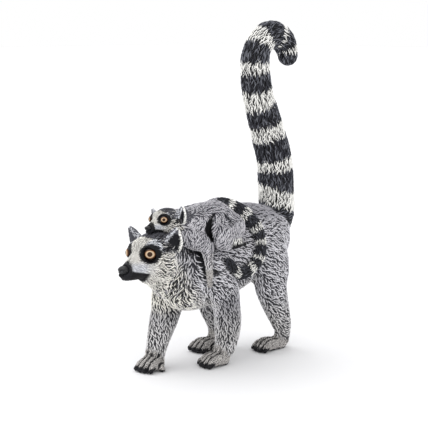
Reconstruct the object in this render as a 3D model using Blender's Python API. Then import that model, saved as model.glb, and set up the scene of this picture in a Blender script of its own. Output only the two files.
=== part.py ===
"""A moulded plastic figurine: a ring-tailed lemur walking on all fours, tail up, with its young on its back.

The grown animal is modelled whole, as lofted limbs and ellipsoids fused into one skin. Thin cuts then part it
into its named pieces. The young is made the same way and rests on the grown animal's back.
Sizes are in millimetres in the figure's own frame, with +X its left side, -Y the way it walks and +Z up.
"""

from math import cos, pi, radians, sin

import bmesh
import bpy
import numpy as np
from mathutils import Euler, Matrix, Vector

MM = 0.001
GAP = 0.3  # between neighbouring pieces
SOLE_DEPTH = 0.45  # how much of each paw is cut away to give it a flat sole
GROWN_TRIANGLES = 5600
YOUNG_TRIANGLES = 2400
THINNING = 0.38  # share of the triangles kept once all is cut; the ears are coarse from the start

# ---------------------------------------------------------------- the grown animal's main places

HEAD_AT = (0.0, -22.0, 35.4)  # midway between its eyes
HEAD_TURN = (0.0, -5.0, 0.0)  # pitch, roll and yaw in degrees

TRUNK = [  # x, y, z, side radius, upright radius
    (0.0, -9.4, 28.6, 7.2, 8.6),
    (0.0, -5.0, 28.1, 9.3, 12.0),
    (0.0, 2.0, 29.5, 10.0, 12.7),
    (0.0, 12.0, 31.9, 10.4, 13.0),
    (0.0, 21.0, 34.2, 10.2, 11.4),
    (0.0, 28.4, 34.0, 8.8, 9.6),
]
NECK = [(0.0, -15.4, 32.6, 7.2, 7.4), (0.0, -11.0, 31.0, 8.0, 9.2), (0.0, -5.0, 29.5, 9.0, 10.2)]

FORE_LEG_LEFT = [
    (6.0, -3.0, 31.0, 5.2, 6.4),
    (8.8, 1.8, 23.0, 4.6, 5.2),
    (8.4, 3.9, 18.2, 3.9, 4.4),
    (8.2, 4.8, 13.4, 3.9, 4.3),
    (7.7, 5.0, 8.7, 3.6, 4.0),
    (7.2, 4.7, 4.6, 3.0, 3.5),
]
FORE_LEG_RIGHT = [
    (-6.0, -3.2, 30.0, 5.2, 6.2),
    (-6.7, -5.2, 20.0, 4.6, 5.2),
    (-6.5, -6.1, 15.6, 4.4, 4.8),
    (-5.8, -8.4, 11.6, 3.9, 4.3),
    (-5.0, -10.7, 7.7, 3.3, 3.6),
    (-4.5, -12.2, 4.6, 3.0, 3.3),
]
HIND_LEG_LEFT = [
    (5.6, 22.5, 32.0, 5.8, 8.2),
    (7.5, 23.6, 26.0, 5.3, 7.0),
    (8.0, 23.6, 20.1, 4.6, 5.3),
    (8.0, 25.8, 14.5, 4.0, 4.5),
    (7.6, 28.9, 8.3, 3.1, 3.4),
    (7.0, 30.3, 5.0, 2.5, 2.8),
    (6.6, 30.6, 3.2, 2.4, 2.7),
]
HIND_LEG_RIGHT = [
    (-5.6, 20.0, 31.0, 5.6, 8.0),
    (-8.4, 14.0, 22.0, 4.7, 6.4),
    (-8.2, 14.0, 13.5, 3.6, 4.2),
    (-7.6, 15.6, 7.4, 2.6, 2.9),
    (-7.4, 16.0, 3.4, 2.5, 2.8),
]
TAIL = [
    (0.0, 28.0, 35.0, 4.4, 4.8),
    (0.0, 33.6, 36.8, 4.9, 5.0),
    (0.0, 34.9, 41.0, 5.5, 5.5),
    (0.0, 34.4, 47.0, 5.6, 5.6),
    (0.0, 33.5, 57.2, 5.5, 5.5),
    (0.0, 29.6, 68.2, 5.2, 5.2),
    (0.0, 25.9, 77.5, 4.7, 4.7),
    (0.0, 24.5, 86.4, 4.5, 4.5),
    (0.0, 25.2, 90.6, 4.2, 4.2),
    (0.4, 27.4, 94.0, 4.2, 4.2),
    (0.9, 30.8, 95.4, 4.3, 4.3),
    (1.4, 34.3, 94.3, 4.0, 4.0),
    (1.8, 36.6, 91.4, 3.5, 3.5),
    (2.0, 37.0, 88.9, 3.2, 3.2),
]

# Paws: where the middle of the palm stands, the toes' heading in degrees from straight ahead, and the outer side.
PAWS = {
    "hand_left": ((6.8, 1.8), -12.0, 1),
    "hand_right": ((-3.2, -14.2), 8.0, -1),
    "foot_left": ((6.1, 25.5), -6.0, 1),
    "foot_right": ((-7.5, 11.5), 4.0, -1),
}

# Places on a head, in its own frame: the origin is midway between its eyes.
EYE_AT = (4.1, 0.5, 0.1)
EYE_RADIUS = 1.85
NOSE_AT = (0.0, -6.2, -3.7)
NOSE_RADII = (1.65, 1.25, 1.2)
EARS = {  # root, tip and the way the scoop opens
    "left": ((6.7, 6.0, 0.2), (9.5, 6.0, 6.7), (0.62, -0.78, 0.05)),
    "right": ((-6.6, 5.6, 0.4), (-10.5, 5.7, 6.5), (-0.20, -0.97, 0.05)),
}
EAR_HALF_WIDTH = 2.5
EAR_THICKNESS = 0.95

# ---------------------------------------------------------------- the young's main places

YOUNG_HEAD_AT = (0.2, -15.4, 44.3)
YOUNG_HEAD_SIZE = (0.63, 0.60, 0.53)  # against the grown animal's head
YOUNG_TRUNK = [
    (0.8, -10.4, 43.2, 4.0, 3.6),
    (3.6, -4.0, 41.8, 6.0, 5.8),
    (4.0, 3.0, 42.2, 6.2, 6.0),
    (4.2, 7.6, 41.7, 4.8, 4.6),
]
YOUNG_ARM_LEFT = [
    (5.6, -9.2, 39.8, 3.4, 3.8),
    (8.3, -6.8, 38.2, 2.8, 3.2),
    (9.6, -5.2, 36.2, 2.0, 2.3),
    (10.4, -5.4, 33.4, 1.4, 1.6),
    (10.8, -5.5, 30.4, 1.2, 1.3),
    (10.8, -5.3, 27.6, 1.1, 1.2),
]
YOUNG_ARM_RIGHT = [
    (-0.6, -7.0, 42.4, 3.0, 3.8),
    (-5.0, -7.4, 40.2, 2.7, 3.2),
    (-8.2, -6.6, 37.0, 2.0, 2.2),
    (-9.6, -6.0, 33.6, 1.5, 1.5),
    (-10.0, -5.8, 31.8, 1.4, 1.5),
]
YOUNG_LEG_LEFT = [
    (7.2, 7.4, 40.3, 4.2, 4.5),
    (9.6, 1.6, 39.4, 3.3, 4.0),
    (10.6, 0.2, 37.6, 2.8, 3.0),
    (11.0, 3.4, 36.8, 2.0, 2.2),
    (11.2, 6.2, 36.4, 1.5, 1.6),
]
YOUNG_LEG_RIGHT = [
    (0.0, 8.4, 43.0, 4.2, 4.6),
    (-5.0, 2.0, 42.6, 3.2, 3.6),
    (-7.0, 0.8, 41.0, 2.6, 2.8),
    (-7.6, 4.0, 39.8, 2.0, 2.2),
    (-8.2, 7.1, 39.2, 1.6, 1.6),
]
YOUNG_TAIL = [
    (1.8, 4.2, 46.4, 2.0, 2.0),
    (3.6, 6.2, 46.9, 2.1, 2.1),
    (5.6, 8.7, 46.1, 2.2, 2.2),
    (7.5, 11.0, 44.6, 2.2, 2.2),
    (9.0, 12.9, 42.5, 2.1, 2.1),
    (10.1, 14.4, 40.1, 2.0, 2.0),
    (10.7, 15.3, 37.2, 1.9, 1.9),
    (11.0, 15.5, 33.5, 1.9, 1.9),
    (11.1, 14.0, 29.8, 1.9, 1.9),
    (11.0, 10.8, 27.8, 1.9, 1.9),
    (11.0, 7.2, 27.2, 1.9, 1.9),
    (11.0, 4.0, 28.2, 2.0, 2.0),
    (11.0, 2.2, 30.6, 2.0, 2.0),
]
YOUNG_EARS = {
    "left": ((7.6, 6.4, -2.8), (9.9, 6.8, 6.2), (0.62, -0.78, 0.05)),
    "right": ((-7.6, 6.4, -2.8), (-10.6, 6.6, 4.6), (-0.40, -0.91, 0.05)),
}
YOUNG_DIGITS = [
    [[(10.8, -5.2, 28.0, 0.7, 0.7), (11.0, -6.0 + 0.8 * n, 25.2, 0.5, 0.55)] for n in (0, 1, 2)],
    [[(-10.1, -5.8, 32.2, 0.7, 0.7), (-10.5, -6.8 + n, 30.0, 0.5, 0.6)] for n in (0, 1, 2)],
    [[(11.2, 6.6, 36.4, 0.7, 0.7), (11.4, 8.8, 37.2 - 0.9 * n, 0.5, 0.6)] for n in (0, 1, 2)],
    [[(-8.2, 7.2, 39.2, 0.7, 0.7), (-8.4, 9.6, 40.0 - 0.9 * n, 0.5, 0.6)] for n in (0, 1, 2)],
]

# Sleeves that part each whole into its pieces, in the order they are cut. They are wider than the flesh, and
# mostly cut with their flat ends.

GROWN_CELLS = {
    "head": [(0.0, -15.6, 33.6, 10.4, 9.6), (0.0, -23.0, 34.6, 10.4, 9.6), (0.0, -36.0, 34.6, 10.4, 9.6)],
    "neck": [(0.0, -9.4, 30.6, 12.0, 13.0), (0.0, -15.0, 31.4, 12.0, 13.0), (0.0, -24.0, 32.6, 12.0, 13.0)],
    "hand_left": [(7.0, 3.6, 4.4, 6.4, 7.0), (6.6, 1.6, 2.0, 6.4, 7.4), (6.4, 0.2, -4.0, 7.4, 9.0)],
    "hand_right": [
        (-4.4, -12.6, 4.4, 6.4, 7.0),
        (-4.0, -14.0, 2.0, 6.4, 7.4),
        (-3.6, -15.4, -4.0, 7.4, 9.0),
    ],
    "foot_left": [(6.8, 28.0, 4.4, 6.4, 7.4), (6.2, 27.0, 2.0, 6.4, 8.6), (6.0, 25.6, -4.0, 7.4, 11.0)],
    "foot_right": [(-7.5, 15.0, 4.4, 6.4, 7.4), (-7.6, 13.0, 2.0, 6.4, 8.6), (-7.8, 11.6, -4.0, 7.4, 11.0)],
    "fore_leg_left": [
        (9.3, -1.6, 28.0, 5.6, 7.2),
        (9.3, 1.8, 22.0, 5.8, 7.4),
        (8.2, 4.8, 12.0, 6.0, 7.0),
        (7.0, 4.6, 2.0, 6.0, 7.0),
    ],
    "fore_leg_right": [
        (-9.3, -4.0, 27.0, 5.6, 7.2),
        (-8.4, -5.0, 20.0, 5.8, 7.4),
        (-5.8, -8.6, 12.0, 6.0, 7.0),
        (-4.2, -13.0, 2.0, 6.0, 7.0),
    ],
    "hind_leg_left": [
        (8.6, 22.0, 31.0, 6.0, 9.0),
        (9.0, 23.4, 22.0, 6.2, 8.8),
        (8.0, 26.4, 12.0, 6.2, 7.0),
        (6.6, 31.0, 2.0, 6.0, 7.0),
    ],
    "hind_leg_right": [
        (-8.6, 18.4, 31.0, 6.0, 9.0),
        (-9.2, 14.0, 21.0, 6.2, 8.8),
        (-8.0, 14.0, 12.0, 6.2, 7.0),
        (-7.4, 16.4, 2.0, 6.0, 7.0),
    ],
    "tail_tip": [(1.8, 36.6, 92.8, 6.0, 6.0), (1.8, 36.6, 88.0, 6.0, 6.0), (1.8, 36.6, 80.0, 6.0, 6.0)],
    "tail_hook": [
        (0.6, 30.0, 89.8, 14.0, 14.0),
        (0.6, 30.0, 96.0, 14.0, 14.0),
        (0.6, 30.0, 106.0, 14.0, 14.0),
    ],
    "tail_upper": [(0.0, 28.8, 70.0, 8.0, 8.0), (0.0, 26.6, 80.0, 8.0, 8.0), (0.0, 25.0, 94.0, 8.0, 8.0)],
    "tail_lower": [(0.0, 34.4, 51.0, 8.0, 8.0), (0.0, 31.4, 61.5, 8.0, 8.0), (0.0, 28.4, 72.0, 8.0, 8.0)],
    "tail_root": [(0.0, 33.4, 40.6, 6.3, 6.3), (0.0, 34.8, 44.6, 6.5, 6.5), (0.0, 35.4, 53.0, 6.5, 6.5)],
}
YOUNG_CELLS = {
    "young_head": [
        (0.6, -10.6, 44.4, 6.5, 6.0),
        (0.2, -16.0, 44.6, 6.5, 6.0),
        (0.2, -24.0, 44.6, 6.5, 6.0),
    ],
    "young_tail_tip": [
        (11.4, 12.0, 28.2, 3.2, 3.2),
        (11.2, 7.6, 27.4, 3.2, 3.2),
        (11.0, 1.2, 33.0, 2.6, 2.6),
    ],
    "young_tail_middle": [
        (10.1, 14.6, 40.0, 3.0, 3.0),
        (11.4, 15.8, 34.0, 3.4, 3.4),
        (11.4, 13.0, 27.6, 3.4, 3.4),
    ],
    "young_tail_root": [
        (4.6, 7.5, 46.6, 2.6, 2.6),
        (7.4, 11.0, 44.8, 2.8, 2.8),
        (9.2, 13.2, 42.4, 3.0, 3.0),
        (10.6, 15.2, 38.0, 3.0, 3.0),
    ],
    "young_hand_left": [
        (11.4, -4.6, 30.4, 3.0, 3.0),
        (11.4, -4.4, 28.0, 3.0, 3.4),
        (11.4, -4.4, 24.0, 3.0, 4.0),
    ],
    "young_hand_right": [
        (-9.8, -5.8, 33.6, 3.0, 3.0),
        (-10.4, -5.8, 31.0, 3.0, 3.4),
        (-10.6, -5.8, 28.0, 3.0, 4.0),
    ],
    "young_foot_left": [(11.2, 4.8, 36.4, 2.2, 2.1), (11.4, 7.4, 36.2, 2.4, 2.2), (11.4, 11.0, 36.0, 2.6, 2.6)],
    "young_foot_right": [(-7.8, 5.2, 39.6, 2.2, 2.1), (-8.4, 8.0, 39.0, 2.4, 2.2), (-8.4, 12.0, 38.8, 2.6, 2.6)],
    "young_arm_left": [
        (6.3, -8.8, 40.6, 4.2, 4.8),
        (9.2, -6.1, 37.8, 3.7, 4.0),
        (11.4, -5.0, 32.0, 3.4, 3.8),
        (11.4, -4.6, 26.0, 3.4, 4.0),
    ],
    "young_arm_right": [
        (-2.6, -7.0, 42.6, 4.4, 5.0),
        (-6.0, -7.2, 40.2, 4.0, 4.4),
        (-9.4, -6.2, 35.0, 3.4, 3.8),
        (-11.0, -5.8, 28.0, 3.4, 4.0),
    ],
    "young_leg_left": [
        (9.6, 9.6, 38.6, 5.0, 4.6),
        (10.6, 3.2, 37.6, 4.6, 4.6),
        (10.6, -4.0, 37.6, 4.6, 4.6),
    ],
    "young_leg_right": [
        (-2.6, 9.4, 42.4, 4.8, 5.0),
        (-6.0, 3.0, 41.4, 4.6, 4.6),
        (-8.0, -4.0, 41.4, 4.6, 4.6),
    ],
}


# ---------------------------------------------------------------- shapes


def smooth_rows(stations, steps):
    """Rows of numbers on a Catmull-Rom curve through the stations."""
    rows = np.array(stations, float)
    padded = np.vstack([2 * rows[0] - rows[1], rows, 2 * rows[-1] - rows[-2]])
    curve = []
    for before, start, end, after in zip(padded, padded[1:], padded[2:], padded[3:]):
        for t in np.arange(steps) / steps:
            curve.append(
                0.5
                * (
                    2 * start
                    + (end - before) * t
                    + (2 * before - 5 * start + 4 * end - after) * t**2
                    + (3 * start - before - 3 * end + after) * t**3
                )
            )
    return np.array([*curve, rows[-1]])


def limb(bm, stations, frame=Matrix(), steps=4, sides=20, flat_ends=False):
    """A tube through the stations, with elliptical sections and round ends. The first radius lies near X."""
    rows = smooth_rows(stations, steps)
    middles, radii = rows[:, :3], rows[:, 3:5]
    ways = np.gradient(middles, axis=0)
    ways /= np.linalg.norm(ways, axis=1)[:, None]
    rings = []
    for middle, (across, deep), way in zip(middles, radii, ways):
        rings.append((middle, across, deep, way))
    if not flat_ends:
        lift = radians(30)
        for end, turns in ((0, (2, 1)), (-1, (1, 2))):
            middle, across, deep, way = rings[end]
            outward = -way if end == 0 else way
            reach = min(across, deep)
            caps = [
                (middle + outward * reach * sin(n * lift), across * cos(n * lift), deep * cos(n * lift), way)
                for n in turns
            ]
            tip = middle + outward * reach
            if end == 0:
                first_tip, rings = tip, [*caps, *rings]
            else:
                last_tip, rings = tip, [*rings, *caps]
    else:
        first_tip, last_tip = middles[0], middles[-1]
    loops = []
    for middle, across, deep, way in rings:
        side = np.array((1.0, 0.0, 0.0))
        side = side - way * side.dot(way)
        side /= np.linalg.norm(side)
        other = np.cross(way, side)
        loop = []
        for n in range(sides):
            angle = 2 * pi * n / sides
            place = middle + side * across * cos(angle) + other * deep * sin(angle)
            loop.append(bm.verts.new(frame @ Vector(place * MM)))
        loops.append(loop)
    for low, high in zip(loops, loops[1:]):
        for n in range(sides):
            m = (n + 1) % sides
            bm.faces.new((low[n], low[m], high[m], high[n]))
    start = bm.verts.new(frame @ Vector(first_tip * MM))
    finish = bm.verts.new(frame @ Vector(last_tip * MM))
    for n in range(sides):
        m = (n + 1) % sides
        bm.faces.new((start, loops[0][m], loops[0][n]))
        bm.faces.new((finish, loops[-1][n], loops[-1][m]))


def ball(bm, centre, radii, turn=(0, 0, 0), frame=Matrix()):
    """An ellipsoid, turned by Euler angles in degrees."""
    turned = Euler([radians(a) for a in turn]).to_matrix().to_4x4()
    size = Matrix.Diagonal((*(r * MM for r in radii), 1))
    place = Matrix.Translation(Vector(centre) * MM)
    bmesh.ops.create_icosphere(bm, subdivisions=3, radius=1, matrix=frame @ place @ turned @ size)


def mesh_object(name, bm):
    bmesh.ops.recalc_face_normals(bm, faces=bm.faces)
    mesh = bpy.data.meshes.new(name)
    bm.to_mesh(mesh)
    bm.free()
    obj = bpy.data.objects.new(name, mesh)
    bpy.context.scene.collection.objects.link(obj)
    return obj


def settle(obj):
    """Applies the object's modifiers to its mesh."""
    bpy.context.view_layer.update()
    graph = bpy.context.evaluated_depsgraph_get()
    mesh = bpy.data.meshes.new_from_object(obj.evaluated_get(graph))
    obj.modifiers.clear()
    obj.data = mesh
    return obj


def thin_out(obj, share):
    """Collapses the mesh to that share of its triangles."""
    step = obj.modifiers.new("thin", "DECIMATE")
    step.ratio = share
    return settle(obj)


def fuse(obj, voxel, smoothing, triangles):
    """One even skin over the overlapping shapes, smoothed and thinned to about that many triangles."""
    remesh = obj.modifiers.new("fuse", "REMESH")
    remesh.mode = "VOXEL"
    remesh.voxel_size = voxel * MM
    smooth = obj.modifiers.new("soften", "SMOOTH")
    smooth.factor = 0.5
    smooth.iterations = smoothing
    settle(obj)
    return thin_out(obj, triangles / (2 * len(obj.data.polygons)))


# ---------------------------------------------------------------- cutting


def duplicate(obj, name):
    copy = obj.copy()
    copy.data = obj.data.copy()
    copy.name = name
    bpy.context.scene.collection.objects.link(copy)
    return copy


def discard(obj):
    bpy.data.objects.remove(obj)


def combine(obj, other, operation):
    """An exact Boolean, applied at once: INTERSECT or DIFFERENCE."""
    step = obj.modifiers.new("combine", "BOOLEAN")
    step.operation = operation
    step.solver = "EXACT"
    step.object = other
    return settle(obj)


def enlarge(obj, by):
    """Moves the surface outwards along its normals."""
    step = obj.modifiers.new("enlarge", "DISPLACE")
    step.strength = by * MM
    step.mid_level = 0
    return settle(obj)


def sleeve(stations, margin=0.0):
    """A cutter along the stations, larger all round and at its first end by the margin."""
    rows = np.array(stations, float)
    way = rows[1, :3] - rows[0, :3]
    rows[0, :3] -= margin * way / np.linalg.norm(way)
    rows[:, 3:5] += margin
    bm = bmesh.new()
    limb(bm, rows, flat_ends=True, sides=24)
    return mesh_object("cutter", bm)


def keep_largest(obj):
    """Drops every loose crumb but the biggest lump, and welds what a cut left doubled."""
    bm = bmesh.new()
    bm.from_mesh(obj.data)
    bmesh.ops.remove_doubles(bm, verts=bm.verts, dist=0.00001)
    bmesh.ops.dissolve_degenerate(bm, edges=bm.edges, dist=0.00001)
    unseen = set(bm.verts)
    lumps = []
    while unseen:
        stack = [unseen.pop()]
        lump = set(stack)
        while stack:
            for edge in stack.pop().link_edges:
                for vert in edge.verts:
                    if vert in unseen:
                        unseen.discard(vert)
                        lump.add(vert)
                        stack.append(vert)
        lumps.append(lump)
    biggest = max(lumps, key=len)
    bmesh.ops.delete(bm, geom=[v for v in bm.verts if v not in biggest], context="VERTS")
    bmesh.ops.triangulate(bm, faces=bm.faces)
    bm.to_mesh(obj.data)
    bm.free()
    return obj


def part_off(whole, name, stations):
    """Parts the flesh inside the sleeve off the whole, leaving a gap between the two."""
    inner = sleeve(stations)
    outer = sleeve(stations, GAP)
    piece = combine(duplicate(whole, name), inner, "INTERSECT")
    combine(whole, outer, "DIFFERENCE")
    discard(inner)
    discard(outer)
    return keep_largest(piece)


def socket(body, piece):
    """Cuts room for the piece, and the gap round it, out of the body."""
    room = enlarge(duplicate(piece, "room"), GAP)
    combine(body, room, "DIFFERENCE")
    discard(room)


# ---------------------------------------------------------------- heads


def head_frame(at, size=(1, 1, 1)):
    turned = Euler([radians(a) for a in HEAD_TURN]).to_matrix().to_4x4()
    return Matrix.Translation(Vector(at) * MM) @ turned @ Matrix.Diagonal((*size, 1))


def head_shapes(bm, frame):
    ball(bm, (0, 6.6, 0.2), (6.6, 7.2, 5.6), frame=frame)
    ball(bm, (0, 2.6, 1.2), (4.4, 4.4, 3.6), frame=frame)
    for side in (-1, 1):
        ball(bm, (side * 3.6, 1.8, 0.4), (3.2, 3.0, 3.0), frame=frame)
        ball(bm, (side * 4.0, 5.2, -3.6), (3.9, 5.2, 4.6), frame=frame)
    muzzle = [
        (0, 3.0, -2.6, 5.0, 5.0),
        (0, -0.8, -3.3, 3.9, 3.9),
        (0, -3.8, -4.3, 2.8, 2.9),
        (0, -5.4, -4.9, 2.1, 2.2),
    ]
    limb(bm, muzzle, frame)
    ball(bm, (0, 4.8, -6.2), (4.4, 5.2, 3.4), frame=frame)


def make_eye(name, side, frame, radius=EYE_RADIUS):
    bm = bmesh.new()
    x, y, z = EYE_AT
    ball(bm, (side * x, y, z), (radius,) * 3, frame=frame)
    return mesh_object(name, bm)


def make_nose(name, frame):
    bm = bmesh.new()
    ball(bm, NOSE_AT, NOSE_RADII, frame=frame)
    return mesh_object(name, bm)


def make_ear(name, frame, start, end, way):
    """A leaf-shaped scoop, open the given way, thickened to a shell."""
    root, tip, facing = Vector(start), Vector(end), Vector(way)
    up = tip - root
    facing = (facing - up * facing.dot(up) / up.length_squared).normalized()
    across = up.normalized().cross(facing)
    rows, columns = 8, 6
    bm = bmesh.new()
    grid = []
    for i in range(rows + 1):
        t = i / rows
        width = EAR_HALF_WIDTH * (0.38 + 0.62 * sin(pi * (0.22 + 0.78 * t))) * (1 - 0.55 * t**4)
        line = []
        for j in range(columns + 1):
            angle = radians(78) * (2 * j / columns - 1)
            depth = width * 0.85 * (cos(angle) - 0.25)
            place = root.lerp(tip, t) + across * width * sin(angle) - facing * depth
            line.append(bm.verts.new(frame @ (place * MM)))
        grid.append(line)
    for low, high in zip(grid, grid[1:]):
        for j in range(columns):
            bm.faces.new((low[j], low[j + 1], high[j + 1], high[j]))
    obj = mesh_object(name, bm)
    shell = obj.modifiers.new("shell", "SOLIDIFY")
    shell.thickness = EAR_THICKNESS * MM
    shell.offset = 0
    shell.use_even_offset = True
    return settle(obj)


def add_face(whole, frame, prefix, ears):
    """Eyes and nose set in sockets, and ears standing on the skin, all clear of it by the gap."""
    pieces = []
    skin = enlarge(duplicate(whole, "skin"), GAP)
    for side, word in ((1, "left"), (-1, "right")):
        eye = make_eye(prefix + "eye_" + word, side, frame)
        socket(whole, eye)
        ear = make_ear(prefix + "ear_" + word, frame, *ears[word])
        combine(ear, skin, "DIFFERENCE")
        pieces += [eye, keep_largest(ear)]
    nose = make_nose(prefix + "nose", frame)
    socket(whole, nose)
    discard(skin)
    return [*pieces, nose]


# ---------------------------------------------------------------- the grown animal


def paw_shapes(bm, centre, heading, outer, toes=4, long_foot=False):
    """A palm with its toes on the ground. Outer is +1 where the little toe is on the left."""
    place = Matrix.Translation(Vector((*centre, -SOLE_DEPTH)) * MM)
    frame = place @ Matrix.Rotation(radians(heading), 4, "Z")
    heel = 4.4 if long_foot else 2.2
    limb(bm, [(0, heel, 1.8, 2.2, 1.8), (0, 0, 2.4, 3.0, 2.2), (0, -2.0, 2.4, 3.1, 2.0)], frame)
    for n in range(toes):
        spread = (n - (toes - 1) / 2) / (toes - 1)
        x = spread * 5.0
        reach = -5.4 + 1.6 * abs(spread)
        limb(
            bm,
            [(x * 0.8, -0.8, 3.1, 1.0, 1.4), (x, -3.2, 2.4, 0.95, 1.2), (x * 1.14, reach, 1.15, 0.9, 1.1)],
            frame,
            sides=12,
        )
    thumb = -outer
    limb(bm, [(thumb * 1.8, 0.8, 1.7, 1.1, 1.3), (thumb * 4.0, -0.6, 1.2, 0.95, 1.15)], frame, sides=12)


def cut_sole(paw):
    """Takes off what is below the floor, so that the animal stands on flats at one level."""
    bm = bmesh.new()
    slab = Matrix.Translation((0, 0, -0.005)) @ Matrix.Diagonal((0.2, 0.2, 0.01, 1))
    bmesh.ops.create_cube(bm, size=1, matrix=slab)
    floor = mesh_object("floor", bm)
    combine(paw, floor, "DIFFERENCE")
    discard(floor)


def grown_whole():
    bm = bmesh.new()
    limb(bm, TRUNK, sides=48, steps=6)
    limb(bm, NECK, sides=40, steps=6)
    head_shapes(bm, head_frame(HEAD_AT))
    for leg in (FORE_LEG_LEFT, FORE_LEG_RIGHT, HIND_LEG_LEFT, HIND_LEG_RIGHT):
        limb(bm, leg, sides=28)
    for name, (centre, heading, outer) in PAWS.items():
        paw_shapes(bm, centre, heading, outer, long_foot=name.startswith("foot"))
    limb(bm, TAIL, sides=28)
    return fuse(mesh_object("trunk", bm), 0.4, 10, GROWN_TRIANGLES)


# ---------------------------------------------------------------- the young


def young_whole(back):
    bm = bmesh.new()
    limb(bm, YOUNG_TRUNK, sides=32, steps=6)
    head_shapes(bm, head_frame(YOUNG_HEAD_AT, YOUNG_HEAD_SIZE))
    for part in (YOUNG_ARM_LEFT, YOUNG_ARM_RIGHT, YOUNG_LEG_LEFT, YOUNG_LEG_RIGHT, YOUNG_TAIL):
        limb(bm, part)
    for hand in YOUNG_DIGITS:
        for digit in hand:
            limb(bm, digit, sides=10)
    whole = fuse(mesh_object("young_trunk", bm), 0.28, 6, YOUNG_TRIANGLES)
    combine(whole, back, "DIFFERENCE")
    return keep_largest(whole)


# ---------------------------------------------------------------- the figure

COLOURS = {  # linear base colour and roughness, by the word a piece's name holds
    "eye": ((0.55, 0.22, 0.05), 0.2),
    "nose": ((0.02, 0.02, 0.022), 0.45),
    "ear": ((0.30, 0.30, 0.30), 0.6),
    "head": ((0.62, 0.61, 0.56), 0.6),
    "hand": ((0.40, 0.38, 0.35), 0.6),
    "foot": ((0.40, 0.38, 0.35), 0.6),
    "tail": ((0.14, 0.14, 0.15), 0.6),
}
GREY_COAT = ((0.24, 0.24, 0.26), 0.6)


def paint(obj):
    words = [word for word in COLOURS if word in obj.name.split("_")]
    colour, roughness = COLOURS[words[0]] if words else GREY_COAT
    material = bpy.data.materials.new(obj.name)
    material.use_nodes = True
    shader = material.node_tree.nodes["Principled BSDF"]
    shader.inputs["Base Color"].default_value = (*colour, 1)
    shader.inputs["Roughness"].default_value = roughness
    obj.data.materials.clear()
    obj.data.materials.append(material)


def centre_on_floor(objects):
    """Moves the geometry so that the bounding box's bottom centre is at the origin. Returns the move."""
    corners = np.array([v.co for obj in objects for v in obj.data.vertices])
    low, high = corners.min(axis=0), corners.max(axis=0)
    move = Vector((-(low[0] + high[0]) / 2, -(low[1] + high[1]) / 2, -low[2]))
    for obj in objects:
        obj.data.transform(Matrix.Translation(move))
    return move


for leftover in list(bpy.data.objects):
    bpy.data.objects.remove(leftover)

grown = grown_whole()
back = enlarge(duplicate(grown, "back"), GAP)
young = young_whole(back)
discard(back)

pieces = [grown, young]
pieces += add_face(grown, head_frame(HEAD_AT), "", EARS)
young_face = head_frame(YOUNG_HEAD_AT, YOUNG_HEAD_SIZE)
pieces += add_face(young, young_face, "young_", YOUNG_EARS)
for name, stations in GROWN_CELLS.items():
    pieces.append(part_off(grown, name, stations))
for name, stations in YOUNG_CELLS.items():
    pieces.append(part_off(young, name, stations))
keep_largest(grown)
keep_largest(young)

for piece in pieces:
    if "ear" not in piece.name.split("_"):
        thin_out(piece, THINNING)
    if piece.name in PAWS:
        cut_sole(piece)
    keep_largest(piece)
    paint(piece)
    piece.data.shade_smooth()
    piece.data.set_sharp_from_angle(angle=radians(48))
move = centre_on_floor(pieces)
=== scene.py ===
from math import cos, radians, sin

import bmesh
import bpy
import numpy as np
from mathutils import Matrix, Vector
from mathutils.bvhtree import BVHTree


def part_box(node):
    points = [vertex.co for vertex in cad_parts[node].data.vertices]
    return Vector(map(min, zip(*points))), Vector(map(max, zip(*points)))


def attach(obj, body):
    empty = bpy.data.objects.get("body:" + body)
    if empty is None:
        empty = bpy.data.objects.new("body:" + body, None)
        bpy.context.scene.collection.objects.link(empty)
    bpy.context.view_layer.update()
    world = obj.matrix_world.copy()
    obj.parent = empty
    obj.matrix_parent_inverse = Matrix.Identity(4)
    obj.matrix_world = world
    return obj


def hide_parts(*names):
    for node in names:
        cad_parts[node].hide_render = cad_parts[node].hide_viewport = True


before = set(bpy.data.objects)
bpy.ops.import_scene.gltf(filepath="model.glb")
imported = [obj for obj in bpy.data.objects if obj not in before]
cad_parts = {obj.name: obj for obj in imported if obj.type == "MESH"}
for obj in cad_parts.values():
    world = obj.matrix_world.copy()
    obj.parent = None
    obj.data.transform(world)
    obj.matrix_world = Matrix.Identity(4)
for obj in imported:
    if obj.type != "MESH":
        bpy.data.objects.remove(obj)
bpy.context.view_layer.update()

# ------------
# The table and the light. The figure stands on a plain white sheet in a white room, lit by two
# broad soft lights, one high on its right and one in front. The camera is low at its left front.

scene = bpy.context.scene


def set_out(name, data, facing=None):
    """A new object in the scene. It looks back along the way it is set out."""
    thing = bpy.data.objects.new(name, data)
    scene.collection.objects.link(thing)
    if facing:
        thing.rotation_mode = "QUATERNION"
        thing.rotation_quaternion = (-Vector(facing)).to_track_quat("-Z", "Y")
    return thing


sheet_mesh = bpy.data.meshes.new("sheet")
sheet_mesh.from_pydata([(-4, -4, 0), (4, -4, 0), (4, 4, 0), (-4, 4, 0)], [], [(0, 1, 2, 3)])
sheet_paint = bpy.data.materials.new("white_sheet")
sheet_paint.use_nodes = True
sheet_shader = sheet_paint.node_tree.nodes["Principled BSDF"]
sheet_look = {"Base Color": (0.78, 0.78, 0.79, 1), "Roughness": 0.8, "Specular IOR Level": 0.1}
for socket, value in sheet_look.items():
    sheet_shader.inputs[socket].default_value = value
sheet_mesh.materials.append(sheet_paint)
set_out("sheet", sheet_mesh)

room = bpy.data.worlds.new("white_room")
room.use_nodes = True
room.node_tree.nodes["Background"].inputs["Color"].default_value = (1, 1, 1, 1)
scene.world = room
scene.view_settings.view_transform = "Standard"

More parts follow.
